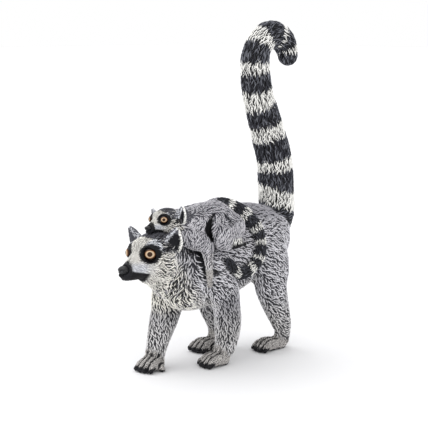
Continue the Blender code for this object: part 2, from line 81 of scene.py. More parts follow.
for name, power, width, place in (
    ("high_lamp", 1.3, 64, (-0.50, -0.12, 1.0)),
    ("front_lamp", 1.0, 90, (0.60, -0.80, 0.35)),
):
    lamp = set_out(name, bpy.data.lights.new(name, "SUN"), place)
    lamp.data.energy = power
    lamp.data.angle = radians(width)

target = Vector((0.00716, -0.00547, 0.0450))
azimuth, elevation, distance = radians(45), radians(9), 0.340
back = Vector((sin(azimuth) * cos(elevation), -cos(azimuth) * cos(elevation), sin(elevation)))
camera = set_out("camera", bpy.data.cameras.new("camera"), back)
camera.location = target + back * distance
camera.data.sensor_width = 36
camera.data.lens = 100.34
camera.data.clip_start = 0.01
scene.camera = camera

# ------------
# The grown lemur's body: a single moulding in soft vinyl, from the muzzle to the tail's tip. It is
# one closed skin that lies under the solids by the depth of the fur carved on it. The eyes' lids,
# the mouth and the creases between the toes are pressed into it.

MM = 0.001
GAP_REACH, GAP_SHARE = 0.5, 0.65
GROWN_DEPTHS = {"": 0.30, "head": 0.14, "ear": 0.05, "hand": 0.08, "foot": 0.08}  # "" is elsewhere


def flesh_of(young):
    """One animal's nodes, without its eyes and nose."""
    own = [n for n in sorted(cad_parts) if n.startswith("young_") == young]
    return [n for n in own if "eye" not in n and not n.endswith("nose")]


def length(vectors):
    return np.linalg.norm(vectors, axis=-1)


def unit(vectors):
    return vectors / np.maximum(np.linalg.norm(vectors, axis=-1, keepdims=True), 1e-9)


def ease(values, low, high):
    """0 below low and 1 above high, with a smooth step between. Low may be the larger."""
    share = np.clip((values - low) / (high - low), 0, 1)
    return share * share * (3 - 2 * share)


def solid_shape(name):
    """A CAD solid's corners in millimetres, and its triangles."""
    bm = bmesh.new()
    bm.from_mesh(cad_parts[name].data)
    bmesh.ops.remove_doubles(bm, verts=bm.verts, dist=0.002 * MM)
    bmesh.ops.triangulate(bm, faces=bm.faces)
    bmesh.ops.recalc_face_normals(bm, faces=bm.faces)
    bm.verts.index_update()
    points = np.array([v.co for v in bm.verts]) / MM
    faces = np.array([[v.index for v in f.verts] for f in bm.faces])
    bm.free()
    return points, faces


def joined(shapes):
    """The corners of some shapes as one list, and their triangles as another."""
    starts = np.cumsum([0] + [len(p) for p, _ in shapes])
    faces = [f + start for (_, f), start in zip(shapes, starts)]
    return np.concatenate([p for p, _ in shapes]), np.concatenate(faces)


def surface(points, faces):
    return BVHTree.FromPolygons(points.tolist(), faces.tolist())


def bridged(points, neighbours):
    """A solid's corners, moved across the gap to its neighbours."""
    out = points.copy()
    for tree in neighbours:
        for i, p in enumerate(points.tolist()):
            spot = tree.find_nearest(p, GAP_REACH)[0]
            if spot is not None:
                out[i] = points[i] + (np.array(spot) - points[i]) * GAP_SHARE
    return out


def new_piece(name, points, faces):
    """A mesh object from corners in millimetres and triangles."""
    mesh = bpy.data.meshes.new(name)
    mesh.vertices.add(len(points))
    mesh.vertices.foreach_set("co", (points * MM).ravel())
    mesh.loops.add(faces.size)
    mesh.loops.foreach_set("vertex_index", faces.ravel())
    mesh.polygons.add(len(faces))
    mesh.polygons.foreach_set("loop_start", np.arange(len(faces)) * 3)
    mesh.update(calc_edges=True)
    mesh.shade_smooth()
    return set_out(name, mesh)


def rows(items, key, wide=3, kind=float):
    """One property of each of a mesh's items, a row to each."""
    values = np.empty(len(items) * wide, kind)
    items.foreach_get(key, values)
    return values.reshape(-1, wide)


class Skin:
    """A closed skin over some CAD solids, in millimetres, with each point's node."""

    def __init__(self, name, nodes, voxel, rounds, share):
        self.nodes = nodes
        shapes = [solid_shape(n) for n in nodes]
        self.owners = np.repeat(np.arange(len(nodes)), [len(f) for _, f in shapes])
        trees = [surface(*shape) for shape in shapes]
        for i, (points, faces) in enumerate(shapes):
            shapes[i] = bridged(points, trees[:i] + trees[i + 1 :]), faces
        points, faces = joined(shapes)
        self.solids = surface(points, faces)
        self.piece = new_piece(name, points, faces)
        fuse = self.piece.modifiers.new("fuse", "REMESH")
        fuse.mode = "VOXEL"
        fuse.voxel_size = voxel * MM
        self.settle()
        fine = self.spread(self.where("head", "ear", "hand", "foot"), 4)[:, None]
        self.co = self.spread(self.co, rounds) * (1 - fine) + self.spread(self.co, 3) * fine
        self.write()
        body = self.piece.vertex_groups.new(name="body")
        body.add(np.flatnonzero(fine[:, 0] < 0.3).tolist(), 1.0, "REPLACE")
        thin = self.piece.modifiers.new("thin", "DECIMATE")
        thin.ratio = share
        thin.vertex_group = "body"
        self.settle()

    def settle(self):
        """Makes the piece's modifiers part of its mesh."""
        bpy.context.view_layer.update()
        worked = self.piece.evaluated_get(bpy.context.evaluated_depsgraph_get())
        mesh = bpy.data.meshes.new_from_object(worked)
        self.piece.modifiers.clear()
        self.piece.data = mesh
        self.read()

    def read(self):
        """Takes the mesh's lists, and finds the node under each point."""
        mesh = self.piece.data
        mesh.calc_loop_triangles()
        self.co = rows(mesh.vertices, "co") / MM
        self.edges = rows(mesh.edges, "vertices", 2, int)
        self.triangles = rows(mesh.loop_triangles, "vertices", 3, int)
        self.region = self.owners[[self.solids.find_nearest(p)[2] for p in self.co.tolist()]]
        self.no = rows(mesh.vertex_normals, "vector")

    def write(self):
        mesh = self.piece.data
        mesh.vertices.foreach_set("co", (self.co * MM).ravel())
        mesh.update()
        self.no = rows(mesh.vertex_normals, "vector")

    def among(self, region, words):
        """Which of some points' nodes have a name that starts with one of the words."""
        wanted = [i for i, n in enumerate(self.nodes) if n.removeprefix("young_").startswith(words)]
        return np.isin(region, wanted)

    def where(self, *words):
        return self.among(self.region, words)

    def spread(self, values, rounds):
        """Averages each value with its neighbours' along the skin."""
        a, b = self.edges.T
        flat = values.reshape(len(values), -1).astype(float)
        count = np.bincount(self.edges.ravel(), minlength=len(flat)) + 1.0
        for _ in range(rounds):
            sums = [c + np.bincount(a, c[b], len(c)) + np.bincount(b, c[a], len(c)) for c in flat.T]
            flat = np.stack(sums, axis=1) / count[:, None]
        return flat.reshape(values.shape)

    def refine(self, near):
        """Splits the faces round the chosen points."""
        bm = bmesh.new()
        bm.from_mesh(self.piece.data)
        chosen = set(np.flatnonzero(near).tolist())
        edges = [e for e in bm.edges if e.verts[0].index in chosen and e.verts[1].index in chosen]
        bmesh.ops.subdivide_edges(bm, edges=edges, cuts=1, use_grid_fill=True)
        bmesh.ops.triangulate(bm, faces=[f for f in bm.faces if len(f.verts) > 3])
        bm.to_mesh(self.piece.data)
        bm.free()
        self.read()


class Head:
    """A head's own measure, in the grown one's millimetres: x left, y back, z up from between its eyes."""

    def __init__(self, prefix, size, ears):
        self.ears = ears
        boxes = [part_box(f"{prefix}eye_{word}") for word in ("left", "right")]
        left, right = [np.array(low + high) / 2 / MM for low, high in boxes]
        across = unit(left - right)
        up = unit(np.cross(across, (0, 1, 0)))
        self.axes = np.array([across, np.cross(up, across), up]) * np.array(size)[:, None]
        self.size = size[0]
        self.origin = (left + right) / 2 - np.multiply(EYE_PLACE, (0, 1, 1)) @ self.axes

    def local(self, points):
        return (points - self.origin) @ np.linalg.inv(self.axes)

    def place(self, local):
        return self.origin + np.asarray(local, float) @ self.axes

    def eye(self, side):
        """An eyeball's middle, the way it looks, and the way up across it."""
        look = unit(np.multiply(EYE_LOOK, (side, 1, 1)) @ self.axes)
        up = unit(self.axes[2] - look * (self.axes[2] @ look))
        return self.place(np.multiply(EYE_PLACE, (side, 1, 1))) - look * EYE_DEEPER * self.size, look, up


EARS = {  # root, tip and the way the scoop opens
    "left": ((6.7, 6.0, 0.2), (9.5, 6.0, 6.7), (0.62, -0.78, 0.05)),
    "right": ((-6.6, 5.6, 0.4), (-10.5, 5.7, 6.5), (-0.20, -0.97, 0.05)),
}
EAR_HALF_WIDTH = 2.5
EYE_PLACE = (4.1, 0.5, 0.1)
EYE_DEEPER = 0.25
EYE_LOOK = (0.64, -0.76, 0.08)
EYE_RADIUS = 1.80
MOUTH = [(0.0, -6.9, -5.3), (1.3, -6.3, -5.4), (2.2, -4.9, -5.5), (2.8, -2.8, -5.8), (3.1, -0.4, -5.8)]


def curve_through(points, steps=12):
    """A smooth line through the points."""
    p = np.asarray(points, float)
    p = np.concatenate([[2 * p[0] - p[1]], p, [2 * p[-1] - p[-2]]])
    t = np.linspace(0, 1, steps, endpoint=False)[:, None]
    out = []
    for a, b, c, d in zip(p, p[1:], p[2:], p[3:]):
        bend = 3 * (b - c) + d - a
        out.append(0.5 * (2 * b + (c - a) * t + (2 * a - 5 * b + 4 * c - d) * t**2 + bend * t**3))
    return np.concatenate([*out, p[-2:-1]])


def nearest_on(points, line):
    """Each point's distance from a line, and the number of the line's nearest sample."""
    gaps = np.full(len(points), np.inf)
    nearest = np.zeros(len(points), int)
    for number, sample in enumerate(line):
        gap = length(points - sample)
        closer = gap < gaps
        gaps[closer] = gap[closer]
        nearest[closer] = number
    return gaps, nearest


def carve_eyelids(skin, head):
    """Wraps two thick lids round each eyeball. Between them the skin dives under the ball."""
    for side in (-1, 1):
        middle, look, up = head.eye(side)
        radius = EYE_RADIUS * head.size
        away = skin.co - middle
        reach = length(away)
        outward = away / np.maximum(reach, 1e-6)[:, None]
        slant = np.arccos(np.clip(outward @ look, -1, 1))
        upright = np.abs(outward @ up) / np.maximum(np.sin(slant), 1e-3)
        opening = np.radians(60 - 22 * upright)
        hidden, rim = radius * 0.86, radius * 1.14
        near = ease(reach, radius * 1.75, radius * 1.30) * ease(slant, radians(112), radians(84))
        wanted = hidden + (rim - hidden) * ease(slant, opening - 0.05, opening + 0.07)
        wanted = wanted + (reach - wanted) * ease(slant, opening + 0.30, opening + 0.75)
        skin.co += outward * ((wanted - reach) * near)[:, None]


def carve_line(skin, line, width, depth):
    gap, _ = nearest_on(skin.co, line)
    skin.co -= skin.no * (depth * np.exp(-((gap / width) ** 2)))[:, None]


def carve_mouth(skin, head):
    for side in (-1, 1):
        line = head.place(curve_through(np.multiply(MOUTH, (side, 1, 1))))
        carve_line(skin, line, 0.30 * head.size, 0.30 * head.size)


def swell_round_nose(skin, head):
    """Brings the muzzle up round the nose."""
    reach = length(skin.co - head.place(NOSE_PLACE)) / head.size
    skin.co += skin.no * (0.34 * head.size * np.exp(-(((reach - 1.7) / 0.45) ** 2)))[:, None]


NOSE_PLACE = (0.0, -6.2, -3.7)


def shape_skin(skin, head, splits, near, depths):
    """Splits the skin round the eyes, takes off the coat's depth, and carves the face."""
    eyes = [head.eye(side)[0] for side in (-1, 1)]
    for _ in range(splits):
        skin.refine(np.min([length(skin.co - e) for e in eyes], axis=0) < near)
    depth = np.empty(len(skin.co))
    for word, value in depths.items():
        depth[skin.where(word)] = value
    skin.co = skin.co - skin.no * skin.spread(depth, 6)[:, None]
    skin.write()
    for carve in (carve_eyelids, carve_mouth, swell_round_nose):
        carve(skin, head)
        skin.write()


# Each palm's middle on the ground, and its toes' heading in degrees from straight ahead.
PAWS = [(6.66, -3.67, -12), (-3.34, -19.67, 8), (5.96, 20.03, -6), (-7.64, 6.03, 4)]
CREASES = (-1.62, 0.0, 1.62)


def toe_creases(skin):
    """The lines between the toes of each paw, and the one behind its thumb."""
    ground = surface(skin.co, skin.triangles)
    lines = []
    for x, y, degrees in PAWS:
        turn = radians(degrees)
        share = np.linspace(0, 1, 30)
        reaches = 6.8 * share - 5.4
        paths = [(crease * (0.86 - 0.05 * reaches), reaches) for crease in CREASES]
        paths.append(((-1 if x > 0 else 1) * (3.3 - 1.1 * share), 3.5 * share - 1.8))
        for path in paths:
            line = []
            for side, reach in zip(*path):
                spot = (x + side * cos(turn) - reach * sin(turn), y + side * sin(turn) + reach * cos(turn))
                found = ground.ray_cast((*spot, 4.9), (0, 0, -1))[0]
                if found is not None:
                    line.append(found)
            lines.append(np.array(line))
    return lines


grown_head = Head("", (1, 1, 1), EARS)
grown = Skin("skin", flesh_of(young=False), 0.30, 12, 0.50)
shape_skin(grown, grown_head, 2, EYE_RADIUS * 1.6, GROWN_DEPTHS)
creases = toe_creases(grown)
for crease in creases:
    carve_line(grown, crease, 0.34, 0.60)
    grown.write()
grown.co[:, 2] = np.maximum(grown.co[:, 2], 0.0)
grown.write()
creases = toe_creases(grown)

# The lie of the fur: back from the nose and along the trunk, down the neck and legs, with slow swirls.

TAIL_LINE = curve_through([
    (-0.15, 22.52, 35.0), (-0.15, 28.12, 36.8), (-0.15, 29.42, 41.0), (-0.15, 28.92, 47.0),
    (-0.15, 28.02, 57.2), (-0.15, 24.12, 68.2), (-0.15, 20.42, 77.5), (-0.15, 19.02, 86.4),
    (-0.15, 19.72, 90.6), (0.25, 21.92, 94.0), (0.75, 25.32, 95.4), (1.25, 28.82, 94.3),
    (1.65, 31.12, 91.4), (1.85, 31.52, 88.9), (1.85, 31.52, 85.7),
])
GROWN_LIE = {
    "trunk": (0, 1, -0.22), "neck": (0, -0.35, -1), "fore_leg": (0, 0.15, -1),
    "hind_leg": (0, 0.35, -1), "hand": (0, -1, -0.5), "foot": (0, -1, -0.4),
}


def ear_place(points, normals, head, word):
    """Across an ear, from -1 at its front edge to 1 at its back edge, up it from 0 to 1, and its inside."""
    root, tip, way = (np.array(part) for part in head.ears[word])
    up = tip - root
    facing = unit(way - up * (way @ up) / (up @ up))
    outward = np.cross(unit(up), facing) * (1 if word == "left" else -1)
    away = head.local(points) - root
    inside = ease(normals @ unit(head.axes).T @ facing, 0.0, 0.3)
    rise = away @ up / (up @ up)
    t = np.clip(rise, 0, 1)
    width = EAR_HALF_WIDTH * (0.38 + 0.62 * np.sin(np.pi * (0.22 + 0.78 * t))) * (1 - 0.55 * t**4)
    return away @ outward / width, rise, inside, outward


def turned(heading, normal, turn):
    side = np.cross(normal, heading)
    return heading * np.cos(turn)[:, None] + side * np.sin(turn)[:, None]


def lay_fur(skin, lie, head, tail_line, swirl, rng):
    """Each point's heading for the fur."""
    heading = np.zeros_like(skin.co)
    for word, direction in lie.items():
        heading[skin.where(word)] = unit(direction)
    face = skin.where("head")
    heading[face] = unit(unit(skin.co[face] - head.place((0, -9.0, -3.0))) + (0, 0.25, -0.2))
    for word, (root, tip, _) in head.ears.items():
        ear = skin.where("ear_" + word)
        across, _, inside, outward = ear_place(skin.co[ear], skin.no[ear], head, word)
        tufts = (inside * ease(across, 0.0, -0.3))[:, None]
        heading[ear] = unit((np.subtract(tip, root) + 9.0 * outward * tufts) @ head.axes)
    tail = skin.where("tail")
    heading[tail] = unit(np.gradient(tail_line, axis=0))[nearest_on(skin.co[tail], tail_line)[1]]
    heading[skin.where("trunk") & (skin.no[:, 2] > 0.6)] = (0, 1, 0)
    heading[skin.where("trunk", "hind_leg") & (skin.co[:, 1] > 12)] = unit((0, 1, -0.6))
    heading[skin.where("fore_leg") & (skin.co[:, 2] > 25)] = unit((0, 1, -0.5))
    heading = skin.spread(heading, 24)
    heading = unit(heading - skin.no * (heading * skin.no).sum(axis=1, keepdims=True))
    waves = skin.spread(rng.normal(size=len(skin.co)), 70)
    turn = np.radians(swirl) * waves / waves.std()
    turn[face | tail] *= 0.4
    return turned(heading, skin.no, turn)


# The paint, dry-brushed over the carving: a light tone on the ridges and a dark one in the grooves.


def linear(red, green, blue):
    """A colour as light, from its three values out of 255 on a screen."""
    return [((c / 255 + 0.055) / 1.055) ** 2.4 if c > 10 else c / 255 / 12.92 for c in (red, green, blue)]


PAINT = {  # on the ridges, in the grooves
    # Besides the figure's own colours, the darker second grey is also brushed on as painted shade, the pale
    # grey as painted light, and the black ones as painted shade in the hollows round the young.
    "grey": ((222, 221, 226), (36, 36, 42)), "back": ((160, 159, 165), (32, 32, 38)),
    "soft": ((210, 208, 213), (60, 60, 67)), "pale": ((232, 230, 227), (48, 48, 50)),
    "cream": ((252, 249, 241), (14, 14, 16)), "face": ((255, 253, 248), (146, 144, 139)),
    "blue": ((234, 238, 245), (158, 163, 176)), "frost": ((240, 242, 247), (40, 43, 52)),
    "white": ((255, 254, 250), (14, 14, 15)), "black": ((58, 59, 66), (5, 5, 7)),
    "fleck": ((118, 120, 128), (6, 6, 8)), "slate": ((100, 100, 107), (12, 12, 16)),
    "beige": ((208, 204, 201), (20, 19, 20)), "leather": ((28, 28, 33), (8, 8, 10)),
}
RING_EDGES = [12.6, 18.1, 23.3, 27.2, 34.5, 39.1, 44.4, 49.4, 54.8, 57.9, 63.2, 66.6, 71.4, 72.8, 77, 78.9]
# The hollow under the young's arm is painted black as painted shade.
UNDER_ARM = [  # the hollow under the young's arm, painted black: a place in it, and its half-width
    (6.8, -15.6, 35.2, 0.3), (7.2, -12.9, 35.0, 0.5), (8.0, -11.5, 34.4, 0.8), (9.1, -12.1, 32.9, 0.9),
    (9.5, -12.2, 31.2, 0.7), (9.9, -11.9, 29.0, 0.6), (9.9, -11.3, 26.7, 0.3),
]
BY_THE_HAND = np.array((11.38, -8.89, 29.26))


class Coat:
    """Points on a skin, and the two tones of the paint that they get."""

    def __init__(self, skin, points, normals, region, rng):
        self.skin, self.points, self.normals, self.region, self.rng = skin, points, normals, region, rng
        self.ridge, self.groove = np.zeros((2, len(points), 3))
        self.brush("grey", np.ones(len(points)))

    def on(self, *words):
        return self.skin.among(self.region, words)

    def some(self, share):
        return self.rng.random(len(self.points)) < share

    def stray(self, width):
        return self.rng.normal(size=len(self.points)) * width

    def brush(self, paint, share):
        """Covers what is there with a share of a paint."""
        ridge, groove = (np.array(linear(*tone)) for tone in PAINT[paint])
        share = np.clip(share, 0, 1)[:, None]
        self.ridge += (ridge - self.ridge) * share
        self.groove += (groove - self.groove) * share


def paint_rings(coat, line, edges, chosen, slope=0.0):
    spots = coat.points[chosen]
    _, nearest = nearest_on(spots, line)
    run = np.cumsum([0, *length(np.diff(line, axis=0))])[nearest]
    run += coat.rng.normal(size=len(spots)) * 0.10
    tilt = (spots - line[nearest]) @ (0.71, 0.71, 0)
    run += slope * tilt * ease(run, 22.5, 17.5)
    white = np.zeros(len(coat.points))
    white[chosen] = np.searchsorted(edges, run) % 2
    coat.brush("black", chosen)
    coat.brush("fleck", chosen * coat.some(0.36 if slope else 0.08))
    coat.brush("white", white)


def lip_top(y):
    return -4.0 - 0.245 * (y + 5.7)


def paint_head(coat, head):
    face, grown = coat.on("head"), head.size > 0.8
    x, y, z = head.local(coat.points).T
    x = np.abs(x)
    coat.brush("face", face)
    coat.brush("cream", face * ease(y, -0.5, 3.0))
    coat.brush("grey", face * ease(y, 6.6, 8.2))
    coat.brush("cream", 0.2 * face * ease(z, 0.6, 2.2))
    coat.brush("blue", 0.62 * face * ease(y, 1.4, -2.0) * ease(z, -1.2, -3.2))
    coat.brush("slate", face * ease(y - 0.15 * x, 1.5, 2.2) * ease(z, -0.9, 0.5) * ease(y, 8.4, 7.2))
    coat.brush("pale", 0.8 * face * ease(y, 2.6, 3.6) * ease(x, 4.0, 5.0) * coat.some(0.4))
    crest = 2.7 if grown else 1.9
    coat.brush("frost", face * ease(np.hypot(x - 5.2, z - 2.6), crest, crest - 0.8) * ease(y, 4.0, 3.0))
    for side in (-1, 1):
        middle, look, up = head.eye(side)
        away = coat.points - middle
        aside = away @ np.cross(up, look) / head.size * 0.86
        reach = np.hypot(aside, away @ up / head.size)
        front = (away @ look) > -0.8 * head.size
        coat.brush("leather", face * front * ease(reach + coat.stray(0.14), 2.9, 2.6))
    coat.brush("leather", face * ease(z - lip_top(y), 0.25, -0.1) * ease(y, 0.9, 0.2))
    muzzle = -3.7 if grown else -3.0
    coat.brush("leather", face * ease(y + 0.25 * x + coat.stray(0.15), muzzle, muzzle - 0.7))
    coat.brush("slate", coat.on("ear"))
    for word, flecks in (("left", 0.30), ("right", 0.40)):
        ear = coat.on("ear_" + word)
        across, rise, inside, _ = ear_place(coat.points, coat.normals, head, word)
        ragged = across + coat.stray(0.10)
        coat.brush("frost", ear * coat.some(flecks) * ease(ragged, 0.3, 0.0))
        if word == "left":
            front = -0.95 + 0.6 * rise if grown else -0.35 + 0.3 * rise
            coat.brush("frost", inside * ear * ease(np.abs(ragged - front + 0.10), 0.16, 0.08))
            coat.brush("leather", inside * ear * ease(ragged - front, 0.0, 0.12) * ease(rise, 0.82, 0.72))
            rim = np.maximum(ease(ragged, 0.68, 0.80), ease(rise, 0.93, 0.99) * ease(across, -0.3, 0.0))
            coat.brush("white", ear * rim)


def gap_to_creases(points):
    return np.min([nearest_on(points, line)[0] for line in creases], axis=0)


def paint_grown(coat):
    x, y, z = coat.points.T
    # Painted shade and light: a darker grey where the fur faces up and a paler one where it faces down, to
    # even out the light from the lamps above.
    coat.brush("back", ease(coat.normals[:, 2], 0.25, 0.85))
    coat.brush("pale", 0.7 * ease(coat.normals[:, 2], -0.35, -0.85))
    # Painted shade: the darker grey on the fore legs' rear side.
    behind = ease(np.where(x > 0, x + y - 4, y - x + 12), -1.5, 1.5)
    coat.brush("back", 0.9 * coat.on("fore_leg") * behind * ease(z, 6, 9) * ease(z, 24, 19))
    # Painted light: the legs are painted paler towards the ground.
    coat.brush("pale", 0.55 * coat.on("fore_leg", "hind_leg") * ease(z, 22, 8))
    bib = ease(-1.4 * (y + 19.1) - (z - 36), 0.0, 8.0) * ease(z, 14.0, 18.5)
    front = coat.on("neck", "trunk")
    coat.brush("cream", bib * coat.on("neck", "trunk", "fore_leg", "head"))
    coat.brush("back", 0.8 * bib * front * coat.some(0.28))
    # Painted shade: slate on the top of the neck behind the head, under the young.
    coat.brush("slate", front * ease(z, 34, 39) * ease(y, -8, -14))
    paws = coat.on("hand", "foot")
    coat.brush("beige", paws)
    coat.brush("leather", paws * ease(gap_to_creases(coat.points), 0.62, 0.36))
    sole = np.where(toe_reach(coat.points) < 0, 1.75, 0.6)
    coat.brush("leather", paws * ease(z - sole + coat.stray(0.1), 0.2, -0.2))
    # Painted shade: black where the fur lies within a millimetre of the young.
    coat.brush("black", 0.8 * ease(gap_to(young_solids, coat.points, 1.0), 0.8, 0.3))
    # Painted shade: the hollow under the young's arm, painted black.
    line, width = np.split(curve_through(UNDER_ARM), [3], axis=1)
    gap, nearest = nearest_on(coat.points, line)
    coat.brush("leather", ease(gap - width[nearest, 0] + coat.stray(0.15), 0.35, 0.0))
    coat.brush("leather", length(coat.points - BY_THE_HAND) < 0.85)
    base = coat.on("trunk") & (y > 20) & (nearest_on(coat.points, TAIL_LINE)[0] < 6.3)
    paint_rings(coat, TAIL_LINE, RING_EDGES, base | coat.on("tail"), 0.42)
    coat.brush("grey", (base | coat.on("tail_root")) * ease(z + 0.84 * y, 62.9, 62.1))
    paint_head(coat, grown_head)


def toe_reach(points):
    """Negative over the toes of a paw, in front of its palm."""
    ahead = np.full(len(points), 9.0)
    for x, y, degrees in PAWS:
        away = points[:, :2] - (x, y)
        reach = -away[:, 0] * sin(radians(degrees)) + away[:, 1] * cos(radians(degrees))
        ahead = np.where(length(away) < 7.5, reach + 2.6, ahead)
    return ahead


def gap_to(tree, points, limit):
    found = (tree.find_nearest(p, limit)[3] for p in points.tolist())
    return np.array([limit if reach is None else reach for reach in found])


young_solids = surface(*joined([solid_shape(n) for n in sorted(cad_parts) if n.startswith("young_")]))


def keep_paint(piece, ridge, groove):
    for name, colour in (("ridge", ridge), ("groove", groove)):
        layer = piece.data.color_attributes.new(name, "FLOAT_COLOR", "POINT")
        layer.data.foreach_set("color", np.column_stack([colour, np.ones(len(colour))]).ravel())


def keep_values(piece, name, values):
    piece.data.attributes.new(name, "FLOAT", "POINT").data.foreach_set("value", values)


def bare_parts(coat, head):
    """How far the light tone covers the skin itself: most where it is smooth."""
    y = head.local(coat.points)[:, 1]
    muzzle = coat.on("head") * (0.12 + 0.4 * ease(y, -4.4, -5.2)) * ease(y, 4.0, 1.0)
    return np.maximum.reduce([coat.on("hand", "foot") * 0.4, coat.on("ear") * 0.6, muzzle])


class Socket:
    """A value on its way through a finish's nodes."""

    def __init__(self, finish, link):
        self.finish, self.link = finish, link

    def maths(self, operation, *operands):
        return self.finish.node("Math", {"operation": operation}, dict(enumerate(operands)))

    def __add__(self, other):
        return self.maths("ADD", self, other)

    def __sub__(self, other):
        return self.maths("SUBTRACT", self, other)

    def __rsub__(self, other):
        return self.maths("SUBTRACT", other, self)

    def __mul__(self, other):
        return self.maths("MULTIPLY", self, other)

    __radd__, __rmul__ = __add__, __mul__

    def ease(self, low, high):
        ends = {"Value": self, "From Min": low, "From Max": high}
        return self.finish.node("MapRange", {"interpolation_type": "SMOOTHSTEP"}, ends)


class Finish:
    """A paint finish on the vinyl: a material, and the nodes that vary it."""

    def __init__(self, name, **constants):
        self.material = bpy.data.materials.new(name)
        self.material.use_nodes = True
        self.tree = self.material.node_tree
        self.shader = self.tree.nodes["Principled BSDF"]
        for socket, value in constants.items():
            self.shader.inputs[socket.replace("_", " ")].default_value = value

    def node(self, kind, settings, inputs, output=0):
        node = self.tree.nodes.new("ShaderNode" + kind)
        for key, value in settings.items():
            setattr(node, key, value)
        for key, value in inputs.items():
            if isinstance(value, Socket):
                self.tree.links.new(value.link, node.inputs[key])
            else:
                node.inputs[key].default_value = value
        return Socket(self, node.outputs[output])

    def kept(self, name, output="Fac"):
        return self.node("Attribute", {"attribute_name": name}, {}, output)

    def speckle(self, size, detail=3.0):
        place = self.node("TexCoord", {}, {}, "Object")
        noise = {"Vector": place, "Scale": 1 / (size * MM), "Detail": detail}
        return self.node("TexNoise", {}, noise)

    def blend(self, share, low, high):
        return self.node("Mix", {"data_type": "RGBA"}, {"Factor": share, 6: low, 7: high}, 2)

    def wear(self, base, rough, height, depth):
        bump = self.node("Bump", {}, {"Height": height, "Distance": depth * MM, "Strength": 0.8})
        for name, value in (("Base Color", base), ("Roughness", rough), ("Normal", bump)):
            self.tree.links.new(value.link, self.shader.inputs[name])


def brushed(name):
    """A dry-brushed finish, its light and dark tone, its brush marks and its patches."""
    finish = Finish(name, Specular_IOR_Level=0.2)
    ridge, groove = finish.kept("ridge", "Color"), finish.kept("groove", "Color")
    return finish, ridge, groove, finish.speckle(0.30), finish.speckle(3.0, 2.0)


def skin_finish(name):
    """In the grooves and on bare skin: dark wash, with some of the light tone brushed over."""
    finish, ridge, groove, brush, patch = brushed(name)
    dry = (brush * 1.5 + patch * 0.4 + finish.kept("smooth") * 0.8).ease(0.95, 1.6)
    base = finish.blend(dry, groove, ridge)
    finish.wear(base, 0.52 + patch * 0.2, brush + finish.speckle(0.15) * 0.5, 0.10)
    return finish.material


skin_paint = skin_finish("painted_skin")


def finish_skin(skin, head, lie, tail_line, swirl, paint, seed):
    """Lays a skin's fur, paints it, and puts it in its nodes' place."""
    rng = np.random.default_rng(seed)
    skin.heading = lay_fur(skin, lie, head, tail_line, swirl, rng)
    coat = Coat(skin, skin.co, skin.no, skin.region, rng)
    paint(coat)
    keep_paint(skin.piece, coat.ridge, coat.groove)
    keep_values(skin.piece, "smooth", bare_parts(coat, head))
    skin.piece.data.materials.clear()
    skin.piece.data.materials.append(skin_paint)
    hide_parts(*skin.nodes)
    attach(skin.piece, "root")


finish_skin(grown, grown_head, GROWN_LIE, TAIL_LINE, 16, paint_grown, 11)

# ------------
# The grown lemur's coat: fur carved as thousands of short pointed locks that overlap like tiles and
# lie along the body. They are part of the vinyl moulding, long on the tail, short on the face.

GROWN_LOCKS = {  # spacing, length, width and height in millimetres, on the legs and then elsewhere
    "": (0.50, 1.6, 0.42, 0.28), "trunk": (0.51, 1.9, 0.44, 0.30), "neck": (0.62, 1.9, 0.42, 0.38),
    "tail": (0.49, 2.2, 0.37, 0.34), "head": (0.44, 1.3, 0.32, 0.18), "ear": (0.40, 1.3, 0.28, 0.18),
    "hand": (0.46, 1.2, 0.32, 0.16), "foot": (0.46, 1.2, 0.32, 0.16),
}
LOCK_STEPS = 5
RING_WIDTH = (0.70, 1.0, 0.92, 0.60)
RING_HEIGHT = (0.75, 1.0, 0.96, 0.78)
LOCK_ACROSS = (1.0, 0.55, 0.0, -0.55, -1.0, 0.0)  # a ring's corners, of which the last is buried
LOCK_RISE = (-0.1, 0.62, 1.0, 0.62, -0.1)
BURIED = 0.12
PATCH = 0.003
MOST_TRIANGLES = 190000  # in one coat piece


def lock_sizes(skin, sizes, head):
    """Spacing, length, width and height of the locks at each point."""
    out = np.empty((len(skin.co), 4))
    for word, size in sizes.items():
        out[skin.where(word)] = size
    back = ease(head.local(skin.co)[:, 1:2], -3.0, 5.0)
    on_head = (0.76, 0.58, 0.58, 0.58) + (0.18, 0.56, 0.56, 0.56) * back
    return skin.spread(out, 10) * np.where(skin.where("head")[:, None], on_head, 1.0)


def at_spots(skin, values, triangle, share):
    return (values[skin.triangles[triangle]] * share[:, :, None]).sum(axis=1)


def scatter(skin, spacing, rng):
    """Spots on the skin, no two nearer than the spacing there, and their triangles and shares of them."""
    corners = skin.co[skin.triangles]
    area = length(np.cross(corners[:, 1] - corners[:, 0], corners[:, 2] - corners[:, 0])) / 2
    gap = spacing[skin.triangles].mean(axis=1)
    chance = area / gap**2
    picks = rng.choice(len(chance), int(chance.sum() * 3.2), p=chance / chance.sum())
    share = rng.dirichlet((1, 1, 1), len(picks))
    spots = at_spots(skin, skin.co, picks, share)
    cell = spacing.max()
    grid, kept = {}, []
    cells = np.floor(spots / cell).astype(int).tolist()
    gaps = (gap[picks] ** 2).tolist()
    steps = [(i, j, k) for i in (-1, 0, 1) for j in (-1, 0, 1) for k in (-1, 0, 1)]
    for number, ((x, y, z), (cx, cy, cz), limit) in enumerate(zip(spots.tolist(), cells, gaps)):
        near = [p for i, j, k in steps for p in grid.get((cx + i, cy + j, cz + k), ())]
        if all((px - x) ** 2 + (py - y) ** 2 + (pz - z) ** 2 > limit for px, py, pz in near):
            grid.setdefault((cx, cy, cz), []).append((x, y, z))
            kept.append(number)
    return picks[kept], share[kept], spots[kept]


